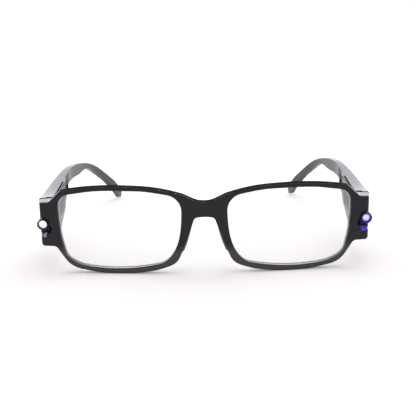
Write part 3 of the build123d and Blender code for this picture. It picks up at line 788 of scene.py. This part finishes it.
def eased_copy(node: str, name: str, move: Move, longest_mm: float,
               sharp_degrees: float = 32.0) -> bpy.types.Object:
    """A copy of a dressed CAD node, finer and eased to the photograph's outline, to stand for the node.

    Args:
        node: the CAD node.
        name: the copy's name.
        move: gives the new places of an array of points, in millimetres.
        longest_mm: edges that move are divided until they are at most this long.
        sharp_degrees: edges that bend more than this stay sharp.

    Returns:
        The new object, at the origin.
    """
    most_divisions, same_place_m, still_mm = 5, 1e-7, 0.01
    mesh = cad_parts[node].data.copy()
    mesh.name = name
    solid = bmesh.new()
    solid.from_mesh(mesh)
    bmesh.ops.remove_doubles(solid, verts=solid.verts, dist=same_place_m)
    for _ in range(most_divisions):
        solid.verts.index_update()
        solid.to_mesh(mesh)
        points = points_mm(mesh)
        moved = np.linalg.norm(move(points) - points, axis=1) > still_mm
        long_edges = [e for e in solid.edges if e.calc_length() > longest_mm * MM
                      and any(moved[v.index] for v in e.verts)]
        if not long_edges:
            break
        bmesh.ops.subdivide_edges(solid, edges=long_edges, cuts=1)
        bmesh.ops.triangulate(solid, faces=[f for f in solid.faces if len(f.verts) > 4])
    solid.to_mesh(mesh)
    solid.free()
    mesh.vertices.foreach_set("co", (move(points_mm(mesh)) * MM).ravel())
    mesh.attributes.remove(mesh.attributes["custom_normal"])
    mesh.update()
    log.info("eased %s into %s with %d faces", node, name, len(mesh.polygons))
    return place_mesh(name, mesh, sharp_degrees)


def stand_for(piece: bpy.types.Object, body: str, slot: str, *replaced: str) -> None:
    """Lets a new piece ride on a body.

    Args:
        piece: the new piece.
        body: the body that it rides.
        slot: the record's material slot that it belongs to; not used.
        replaced: the CAD nodes that it stands for.
    """
    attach(piece, body)
    if replaced:
        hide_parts(*replaced)
    log.info("added %s on %s", piece.name, body)


@dataclass
class Front:
    """The moulded front: its skin, the dull brow on the rims' tops, darkened as painted shade, and the lamps'
    light in its notches.

    Each notch light has its place from the front's middle, its half sizes, its colour and its strength.
    """

    front_y: float
    longest_mm: float = 1.0
    brow_normal: float = 0.8
    brow_over_mm: float = 25.0
    brow_half_width_mm: float = 61.0
    brow_depth_mm: float = 12.0
    notch_lights: tuple[tuple[Place, Place, str, float], ...] = (
        ((68.4, 7.0, 16.9), (2.1, 3.6, 1.3), "#3f38bd", 1.0),
        ((-68.7, 6.6, 16.9), (0.9, 3.2, 1.3), "#8c93a6", 0.9),
        ((68.0, 4.9, 16.3), (0.8, 0.7, 0.4), "#6a66a0", 0.5),
        ((-68.4, 4.9, 16.3), (0.6, 0.7, 0.4), "#9a9aa0", 0.7),
    )

    def build(self, ease: RimEase) -> Material:
        """Dresses the front and eases it.

        Args:
            ease: moves the rims' points.

        Returns:
            The front's finish, for the flares of its endpieces.
        """
        glows = tuple(Glow(from_front(self.front_y, place), *rest) for place, *rest in self.notch_lights)
        # Near-black with a faint violet tinge: clear coated where it is polished, satin on its face.
        skin = MouldedPlastic("front_plastic", "#18141a", "#1d1920", 0.16, coat=1.0, edge_mm=0.4,
                              zone=Polish(self.front_y), glows=glows).material()
        # Painted shade: the brow is darker than the rest of the front and mirrors hardly anything, so the
        # rims' tops stay dark under the bright room.
        brow = MouldedPlastic("brow_painted_shade", "#08070a", "#0c0b0e", 0.6, specular=0.03).material()
        dress("front_frame", skin)
        finish_faces("front_frame", brow, self._on_brow)
        piece = eased_copy("front_frame", "moulded_front", ease, self.longest_mm)
        stand_for(piece, "front", "front_plastic", "front_frame")
        return skin

    def _on_brow(self, face: bpy.types.MeshPolygon) -> bool:
        """Whether a face looks up from the top of a rim."""
        return (face.normal.z > self.brow_normal and face.center.z > self.brow_over_mm * MM
                and abs(face.center.x) < self.brow_half_width_mm * MM
                and face.center.y < self.front_y + self.brow_depth_mm * MM)


@dataclass
class SubAssembly:
    """A group of pieces of one side: it dresses its CAD nodes and adds its own pieces on one body."""

    side: Side
    body: str

    def node(self, name: str) -> str:
        """The CAD node's full name on this side."""
        return self.side.value + name

    def keep(self, piece: bpy.types.Object, slot: str, *replaced: str) -> None:
        """Lets a new piece ride on this group's body, for nodes named without their side."""
        stand_for(piece, self.body, slot, *(self.node(name) for name in replaced))


@dataclass
class Lens(SubAssembly):
    """A lens in its rim."""

    edge_normal: float = 0.8
    longest_mm: float = 3.0

    def build(self, finish: Material, ground: Material, ease: RimEase) -> None:
        """Dresses the lens, with its edge ground, and eases it to its rim.

        Args:
            finish: the polished faces' finish.
            ground: the edge's finish.
            ease: moves the rim's points.
        """
        node = self.node("lens")
        dress(node, finish)
        finish_faces(node, ground, lambda face: abs(face.normal.y) < self.edge_normal)
        self.keep(eased_copy(node, self.node("cut_lens"), ease, self.longest_mm), "lens_clear", "lens")


@dataclass
class Hinge(SubAssembly):
    """Two leaves and the screw between them."""

    def build(self, finish: Material) -> None:
        """Dresses the hinge's metal."""
        for name in ("front_hinge_leaf", "temple_hinge_leaf", "hinge_screw"):
            dress(self.node(name), finish)


@dataclass
class Temple(SubAssembly):
    """The arm's shell with its battery cover, the cover's thumb ribs and a pin's mark behind it."""

    joint_mm: float = 0.7
    longest_mm: float = 2.0
    sunk_mm: float = 0.05
    rib_count: int = 5
    rib_start_mm: float = 7.0
    rib_pitch_mm: float = 2.6
    rib_width_mm: float = 0.8
    rib_proud_mm: float = 0.12
    rib_height_mm: float = 7.0
    rib_middle_z_mm: float = 22.5
    pin_y_mm: float = 51.0
    pin_z_mm: float = 31.6
    pin_radius_mm: float = 0.5
    pin_proud_mm: float = 0.12
    pin_segments: int = 40

    def build(self, shell: Material, cover: Material, joint: Material, metal: Material) -> None:
        """Dresses shell, cover and screw, and paints shade on the joint round the cover as a dull near-black.

        Args:
            shell: the arm's finish.
            cover: the cover's finish.
            joint: the painted shade of the joint's walls.
            metal: the screw's finish.
        """
        arm, lid = self.node("temple_shell"), self.node("battery_cover")
        dress(arm, shell)
        dress(lid, cover)
        finish_faces(arm, joint, joint_walls(lid, self.joint_mm))
        finish_faces(lid, joint, joint_walls(arm, self.joint_mm))
        dress(self.node("cover_screw"), metal)
        piece = eased_copy(arm, self.node("arm_shell"), ArmEase(self.side, arm), self.longest_mm)
        self.keep(piece, "temple_plastic", "temple_shell")
        self._add_ribs(cover)
        self._add_pin_mark(shell)

    def _add_ribs(self, plastic: Material) -> None:
        """Adds the cover's upright thumb ribs: half round, with rounded ends, sunk a little into the cover.

        A rib's width and depth both follow sqrt(1 - |s| ** 8), where s goes from -1 at its foot to 1.

        Args:
            plastic: the cover's finish.
        """
        rows, columns = 25, 13
        low, high = box_mm(self.node("battery_cover"))
        face_x = min(abs(low[0]), abs(high[0]))
        along = np.linspace(-1.0, 1.0, rows)[:, None]
        ends = np.sqrt(np.clip(1.0 - np.abs(along) ** 8, 0.0, 1.0))
        turn = np.linspace(0.0, math.pi, columns)
        proud = (self.rib_proud_mm + self.sunk_mm) * ends * np.sin(turn)
        x = self.side.sign * (face_x + self.sunk_mm - proud)
        across = self.rib_width_mm / 2 * ends * np.cos(turn)
        z = self.rib_middle_z_mm + self.rib_height_mm / 2 * along
        for i in range(self.rib_count):
            y = low[1] + self.rib_start_mm + i * self.rib_pitch_mm
            points = np.stack(np.broadcast_arrays(x, y - across, z), axis=-1).reshape(-1, 3)
            name = f"{self.node('cover_rib')}_{i + 1}"
            self.keep(add_mesh(name, points, grid_faces(rows, columns, True), plastic), "temple_plastic")

    def _add_pin_mark(self, plastic: Material) -> None:
        """Adds the ring that an ejector pin left on the arm's inner face, behind the cover.

        Args:
            plastic: the arm's finish.
        """
        spot = (0.0, self.pin_y_mm + box_mm("front_frame")[0][1], self.pin_z_mm)
        place = surface_point(self.node("temple_shell"), spot, (float(self.side.sign), 0.0, 0.0))
        outer, depth = self.pin_radius_mm, self.pin_proud_mm
        profile = [(outer, -0.1), (outer, depth * 0.7), (outer - 0.1, depth), (outer - 0.2, depth * 0.7),
                   (outer - 0.25, -0.1)]
        inward = [(radius, -self.side.sign * height) for radius, height in profile]
        mark = turned(self.node("pin_mark"), inward, tuple(place), 0, plastic, self.pin_segments, False)
        self.keep(mark, "temple_plastic")


@dataclass
class Battery(SubAssembly):
    """The cells and their contacts."""

    def build(self, steel: Material, contact: Material) -> None:
        """Dresses cells and contacts."""
        for name, finish in (("battery_cell_front", steel), ("battery_cell_rear", steel),
                             ("negative_contact", contact), ("positive_contact", contact)):
            dress(self.node(name), finish)


@dataclass
class Lamp(SubAssembly):
    """A lamp: its lit resin, its two leads, the ring on its front and its wire."""

    resin_radius_mm: float = 1.75
    dome_height_mm: float = 0.76
    body_length_mm: float = 5.9
    flange_radius_mm: float = 1.95
    flange_thickness_mm: float = 1.0
    lead_half_width_mm: float = 0.25
    lead_off_axis_mm: float = 1.27
    lead_sunk_mm: float = 0.5
    lead_ends_mm: Span = (15.5, 14.9)
    ring_radius_mm: float = 2.4
    ring_edge_mm: float = 0.3
    ring_gap_mm: float = 0.02
    ring_bevel_mm: Span = (0.12, 0.25)

    def build(self, resin: LitResin, ring: Material, lead: Material, wire: Material) -> None:
        """Turns the resin and the ring, and adds the leads.

        Args:
            resin: the lit resin's finish, whose centre is the lamp's.
            ring: the ring's finish.
            lead: the leads' metal.
            wire: the wire's cover.
        """
        low, high = box_mm(self.node("led_sleeve"))
        x, z = (low[0] + high[0]) / 2, (low[2] + high[2]) / 2
        tip, r = box_mm(self.node("led"))[0][1], self.resin_radius_mm
        dome = [(r * math.sin(a), tip + self.dome_height_mm * (1 - math.cos(a)))
                for a in np.linspace(0.02, math.pi / 2, 14)]
        rear = tip + self.body_length_mm
        step = rear - self.flange_thickness_mm
        body = dome + [(r, step), (self.flange_radius_mm, step), (self.flange_radius_mm, rear)]
        self.keep(turned(self.node("lamp_resin"), body, (x, 0.0, z), 1, resin.material()),
                  "lamp_violet" if self.side is Side.LEFT else "lamp_white", "led")
        half = self.lead_half_width_mm
        for word, way, end in zip(("low", "high"), (-1, 1), self.lead_ends_mm):
            middle = z + way * self.lead_off_axis_mm
            points, faces = box_points((x - half, rear - self.lead_sunk_mm, middle - half),
                                       (x + half, tip + end, middle + half))
            self.keep(add_mesh(f"{self.node('lead')}_{word}", points, faces, lead), "contact_metal")
        self._turn_ring(x, z, low[1], high[1], ring)
        dress(self.node("led_wire"), wire)

    def _turn_ring(self, x: float, z: float, front: float, rear: float, finish: Material) -> None:
        """Turns the ring, with a soft outer edge and a small bevel into its bore.

        Args:
            x: its axis's place along X, in millimetres like the rest.
            z: its axis's place along Z.
            front: its front's place along Y.
            rear: its back's place along Y.
            finish: its finish.
        """
        bore, outer, edge = self.resin_radius_mm + self.ring_gap_mm, self.ring_radius_mm, self.ring_edge_mm
        wall = rounded((outer, front), (outer - edge, front), (outer, front + edge))
        wall += rounded((outer, rear), (outer, rear - edge), (outer - edge, rear))
        across, deep = self.ring_bevel_mm
        profile = [*wall, (bore, rear), (bore, front + deep), (bore + across, front), wall[0]]
        ring = turned(self.node("lamp_ring"), profile, (x, 0.0, z), 1, finish, capped=False)
        self.keep(ring, "sleeve_plastic", "led_sleeve")


@dataclass
class Switch(SubAssembly):
    """The slide switch: its housing, and a knob with grip ridges that slides in it."""

    ridge_count: int = 4
    ridge_depth_mm: float = 0.14
    cap_depth_mm: float = 0.84
    cap_stations: int = 49
    corner_mm: float = 0.2
    neck_mm: Span = (1.2, 0.8)
    neck_sunk_mm: Span = (0.05, 0.1)
    foot_depth_mm: float = 0.8
    foot_half_height_mm: float = 0.6
    sharp_degrees: float = 50.0

    def build(self, housing: Material, knob: Material) -> None:
        """Dresses the housing and makes the knob, whose body is the group's.

        Args:
            housing: the housing's finish.
            knob: the knob's finish.
        """
        dress(self.node("switch_body"), housing)
        low, high = box_mm(self.node("switch_knob"))
        face, foot = sorted((abs(low[0]), abs(high[0])))
        points, faces = self._cap(face, low, high)
        middle_y, middle_z = (low[1] + high[1]) / 2, (low[2] + high[2]) / 2
        half_y, half_z = self.neck_mm[0] / 2, self.neck_mm[1] / 2
        neck = ((face + self.cap_depth_mm - self.neck_sunk_mm[0], middle_y - half_y, middle_z - half_z),
                (foot - self.neck_sunk_mm[1], middle_y + half_y, middle_z + half_z))
        base = ((foot - self.foot_depth_mm, low[1], middle_z - self.foot_half_height_mm),
                (foot, high[1], middle_z + self.foot_half_height_mm))
        for corners in (neck, base):
            more, more_faces = box_points(*corners)
            faces += [tuple(i + len(points) for i in f) for f in more_faces]
            points = np.vstack([points, more])
        points[:, 0] *= self.side.sign
        piece = add_mesh(self.node("ridged_knob"), points, faces, knob, self.sharp_degrees)
        self.keep(piece, "knob_plastic", "switch_knob")

    def _cap(self, face: float, low: np.ndarray, high: np.ndarray) -> tuple[np.ndarray, list[Sequence[int]]]:
        """The knob's cap: its face waves with the ridges, depth * (1 - cos) / 2, and its edges are round.

        Args:
            face: the distance of its face from the middle plane, in millimetres like the rest.
            low: the knob's lowest corner.
            high: the knob's highest corner.

        Returns:
            The points and the faces.
        """
        share = np.linspace(0.0, 1.0, self.cap_stations)
        length, round_mm = high[1] - low[1], self.corner_mm
        near_end = np.minimum(share, 1.0 - share) * length / round_mm
        drop = round_mm * (1.0 - np.sqrt(np.maximum(0.0, 1.0 - np.maximum(0.0, 1.0 - near_end) ** 2)))
        x = face + drop + self.ridge_depth_mm * (1.0 - np.cos(2.0 * math.pi * self.ridge_count * share)) / 2
        bottom, top, back = low[2], high[2], face + self.cap_depth_mm
        lower = rounded((x, bottom), (x + round_mm, bottom), (x, bottom + round_mm))
        upper = rounded((x, top), (x, top - round_mm), (x + round_mm, top))
        return lofted([(back, bottom), *lower, *upper, (back, top)], low[1] + share * length)


@dataclass
class Endpiece(SubAssembly):
    """The flare on the endpiece's outer side, which brings it flush with the arm over and under the notch."""

    start_y_mm: float = 5.7
    end_y_mm: float = 11.9
    stations: int = 9
    upper_z_mm: Span = (25.4, 31.3)
    lower_z_mm: Span = (12.6, 16.4)
    upper_corner_mm: float = 0.9
    lower_corner_mm: float = 0.4
    under_corner_mm: float = 0.3
    arm_place_mm: Place = (90.0, 12.8, 29.0)
    short_of_arm_mm: float = 0.1
    sunk_mm: float = 0.02
    root_mm: Span = (1.0, 1.1)

    def build(self, plastic: Material) -> None:
        """Adds the flare's two parts.

        Args:
            plastic: the front's finish.
        """
        low, high = box_mm("front_frame")
        front_y, side_x = low[1], high[0]
        away, behind, up = self.arm_place_mm
        outside = surface_point(self.node("temple_shell"), (self.side.sign * away, front_y + behind, up),
                                (-float(self.side.sign), 0.0, 0.0))
        share = np.linspace(0.0, 1.0, self.stations)
        x = side_x - self.sunk_mm + share * (abs(outside.x) - self.short_of_arm_mm - side_x)
        y = front_y + self.start_y_mm + share * (self.end_y_mm - self.start_y_mm)
        root, under = self.root_mm, self.under_corner_mm
        for name, (bottom, top), corner in (("upper", self.upper_z_mm, self.upper_corner_mm),
                                            ("lower", self.lower_z_mm, self.lower_corner_mm)):
            upper = rounded((x, top), (x - corner, top), (x, top - corner))
            lower = rounded((x, bottom), (x, bottom + under), (x - under, bottom))
            inner = [(side_x - root[1], top - under), (side_x - root[0], top + self.sunk_mm)]
            points, faces = lofted([*inner, *upper, *lower, (side_x - root[1], bottom)], y)
            points[:, 0] *= self.side.sign
            self.keep(add_mesh(self.node(f"endpiece_flare_{name}"), points, faces, plastic), "front_plastic")


def set_up_camera(front_y: float) -> None:
    """Sets the camera where the photograph was taken from.

    Args:
        front_y: the row frame's y of the front-most point of the bridge, in metres.
    """
    focal_px, pitch, roll, distance_mm, look_z_mm = 813.0, 15.5, 1.2, 340.0, 30.7
    centre_px = (204.2, 204.0)
    sensor_mm = 36.0
    data = bpy.data.cameras.new("photo_camera")
    camera = bpy.data.objects.new("photo_camera", data)
    bpy.context.scene.collection.objects.link(camera)
    angle = math.radians(pitch)
    look = Vector((0.0, front_y, look_z_mm * MM))
    back = Vector((0.0, -math.cos(angle), math.sin(angle)))
    camera.location = look + back * distance_mm * MM
    level = (-back).to_track_quat("-Z", "Y").to_matrix().to_4x4()
    camera.rotation_euler = (level @ Matrix.Rotation(-math.radians(roll), 4, "Z")).to_euler()
    data.sensor_width = sensor_mm
    data.lens = focal_px / PHOTO_WIDTH * sensor_mm
    data.shift_x = (PHOTO_WIDTH / 2 - centre_px[0]) / PHOTO_WIDTH
    data.shift_y = (centre_px[1] - PHOTO_HEIGHT / 2) / PHOTO_WIDTH
    data.clip_start, data.clip_end = 0.01, 10.0
    bpy.context.scene.camera = camera


@dataclass(frozen=True)
class Studio:
    """The white room: bright behind the object, dim on the camera's side, over a pale table."""

    behind: float = 1.45
    before: float = 0.3
    above: float = 0.75
    before_to_behind: Span = (-0.35, 0.75)
    side_to_above: Span = (0.45, 0.85)
    room_colour: str = "#fbf9ff"
    table_colour: str = "#f1efee"
    seen_colour: str = "#fffcf9"
    table_half_mm: float = 6000.0
    table_roughness: float = 0.9
    lift: Span = (0.17, 0.3)
    lift_y: Span = (-0.07, 0.03)
    lamp_size_m: float = 0.9
    lamp_watts: float = 3.0
    lamp_place: Place = (0.1, 0.1, 1.1)

    def build(self) -> None:
        """Makes the sky, the table and the soft lamp above."""
        self._sky()
        self._table()
        self._soft_lamp()
        bpy.context.scene.view_settings.view_transform = "Standard"

    def _sky(self) -> None:
        """The sky's light depends on its direction. The camera and the clear lenses see plain white."""
        world = bpy.data.worlds.new("white_room")
        bpy.context.scene.world = world
        world.use_nodes = True
        g = Graph(world.node_tree)
        axes = g.axes(g.coordinates["Generated"])
        side = g.ramp(axes["Y"], *self.before_to_behind, self.before, self.behind)
        room = g.between(g.ramp(axes["Z"], *self.side_to_above), side, self.above)
        path = g.add("LightPath")
        seen = g.math("MAXIMUM", path.outputs["Is Camera Ray"], path.outputs["Is Transmission Ray"])
        tint = g.blend(seen, linear(self.room_colour), linear("#ffffff"))
        sky = g.add("Background", {"Color": tint, "Strength": g.between(seen, room, 1.0)})
        g.add("OutputWorld", {"Surface": sky.outputs["Background"]})

    def _table(self) -> None:
        """A pale table that keeps the soft shadow and is as white as the photograph's to the camera."""
        material, g = new_material("white_table")
        seen = g.add("LightPath").outputs["Is Camera Ray"]
        lift = g.math("MULTIPLY", seen, g.ramp(g.axes(g.place)["Y"], *self.lift_y, *self.lift))
        tone = g.blend(seen, linear(self.table_colour), linear(self.seen_colour))
        g.skin({"Base Color": tone, "Roughness": self.table_roughness, "Specular IOR Level": 0.0,
                "Emission Color": linear("#ffffff"), "Emission Strength": lift})
        half = self.table_half_mm
        points = np.array([(-half, -half, 0), (half, -half, 0), (half, half, 0), (-half, half, 0)])
        add_mesh("table", points, [(0, 1, 2, 3)], material)

    def _soft_lamp(self) -> None:
        """One broad lamp above, a little behind the object's middle."""
        lamp = bpy.data.lights.new("soft_box", "AREA")
        lamp.shape, lamp.size, lamp.energy = "SQUARE", self.lamp_size_m, self.lamp_watts
        box = bpy.data.objects.new("soft_box", lamp)
        box.location = self.lamp_place
        box.rotation_euler = (-box.location).to_track_quat("-Z", "Y").to_euler()
        bpy.context.scene.collection.objects.link(box)


@dataclass(frozen=True)
class LampLook:
    """How one side's lamp shines: its resin's four colours, its ring's glow and its spill in the notch."""

    core: str
    cloud: str
    rim: str
    edge: str
    ring: str
    ring_strength: float
    spill: str
    spill_strength: float
    spill_half_sizes_mm: Place
    dim: str


LAMP_LOOKS = {
    Side.RIGHT: LampLook("#ffffff", "#f3ecff", "#fbfaff", "#a9adc4", "#5a6080", 0.6, "#8c93a6", 0.9,
                         (0.7, 0.6, 1.0), "#12141f"),
    Side.LEFT: LampLook("#fbf2ff", "#cfb2ff", "#7a62ff", "#3a2cc8", "#3325a8", 0.9, "#3f38bd", 1.0,
                        (1.9, 0.6, 1.3), "#130d38"),
}


def build_side(side: Side, front_y: float, front: Material) -> None:
    """Builds and dresses everything of one side but its lens.

    Args:
        side: the wearer's side.
        front_y: the row frame's y of the front, in metres.
        front: the front's finish.
    """
    p, look, start = side.value, LAMP_LOOKS[side], front_y / MM
    low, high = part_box(p + "led_sleeve")
    centre = tuple((low + high) / 2)
    # Nickel plate: the hinges, screws and contacts glint warm against the black.
    nickel = PlatedMetal(p + "nickel_plate", "#c9c6c1", 0.25).material()
    # Rolled steel: the cells are brushed across and a little duller than the plate.
    steel = PlatedMetal(p + "cell_steel", "#bdbcb8", 0.3, brush_mm=(1.0, 0.06, 0.06)).material()
    # Nylon: a plain soft black without a coat, so that the switch stands apart from the arm.
    nylon = MouldedPlastic(p + "switch_nylon", "#101012", "#18181b", 0.4).material()
    # Lit resin: a bright clouded core, a coloured rim and a darker edge in the ring.
    resin = LitResin(p + "lit_resin", look.core, look.rim, look.edge, centre, 1.8, look.cloud)
    # The ring is darker than the arm, and the lamp's light on its mouth is a painted glow in the lamp's
    # colour.
    mouth = Glow((centre[0], low[1], centre[2]), (2.15, 1.5, 2.15), look.ring, look.ring_strength)
    ring = MouldedPlastic(p + "ring_plastic", "#0d0c10", "#141318", 0.3, glows=(mouth,)).material()
    # The arm: polished at the hinge, where it mirrors the room in grey, and duller to the tip. Its wall in
    # the notch shows the lamp's spill, one patch bright and one dim, and its slit keeps a dark line.
    spill = Glow(from_front(front_y, (side.sign * 69.5, 12.2, 15.2)), look.spill_half_sizes_mm, look.spill,
                 look.spill_strength)
    dim = Glow(from_front(front_y, (side.sign * 69.5, 13.0, 17.0)), (2.5, 2.5, 4.0), look.dim, 1.0)
    fade = Fade(front_y + 62.0 * MM, front_y + 128.0 * MM)
    slit = Slit((65.15, 66.05), (start + 12.6, start + 40.5), (30.6, 40.0))
    shell = MouldedPlastic(p + "temple_plastic", "#141116", "#1a161c", 0.16, coat=0.7, zone=fade,
                           satin_roughness=0.3, edge_mm=1.0, slit=slit, glows=(spill, dim)).material()
    # The cover is about as polished as the arm, with crisper edges, so that its seams show.
    cover = MouldedPlastic(p + "cover_plastic", "#141116", "#1a161c", 0.18, coat=0.7, edge_mm=0.2).material()
    # Painted shade: the joint's walls are near-black and dull and stand for the shade in the gap, which draws
    # the seam as a thin dark line.
    joint = MouldedPlastic(p + "joint_shade", "#040404", "#060606", 0.9, smear=0.0).material()
    temple = p + "temple"
    Endpiece(side, "front").build(front)
    Hinge(side, "front").build(nickel)
    Temple(side, temple).build(shell, cover, joint, nickel)
    Battery(side, temple).build(steel, nickel)
    Lamp(side, temple).build(resin, ring, nickel, nylon)
    Switch(side, p + "knob").build(nylon, nylon)


def main() -> None:
    """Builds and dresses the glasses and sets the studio."""
    logging.basicConfig(level=logging.INFO)
    front_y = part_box("front_frame")[0].y
    ease = RimEase()
    front = Front(front_y).build(ease)
    # Clear resin: the table shows through almost untinted, with a thin reflection over it.
    lens = ClearLens("clear_lens", "#f4f5f6", 0.02, 0.08).material()
    # The lens's ground edge is matt and pale, a light line inside the rim.
    ground = MouldedPlastic("ground_edge", "#e6e8ea", "#f4f4f4", 0.7, ripple_mm=0.3).material()
    for side in Side:
        Lens(side, "front").build(lens, ground, ease)
        build_side(side, front_y, front)
    set_up_camera(front_y)
    Studio().build()


if __name__ == "__main__":
    main()
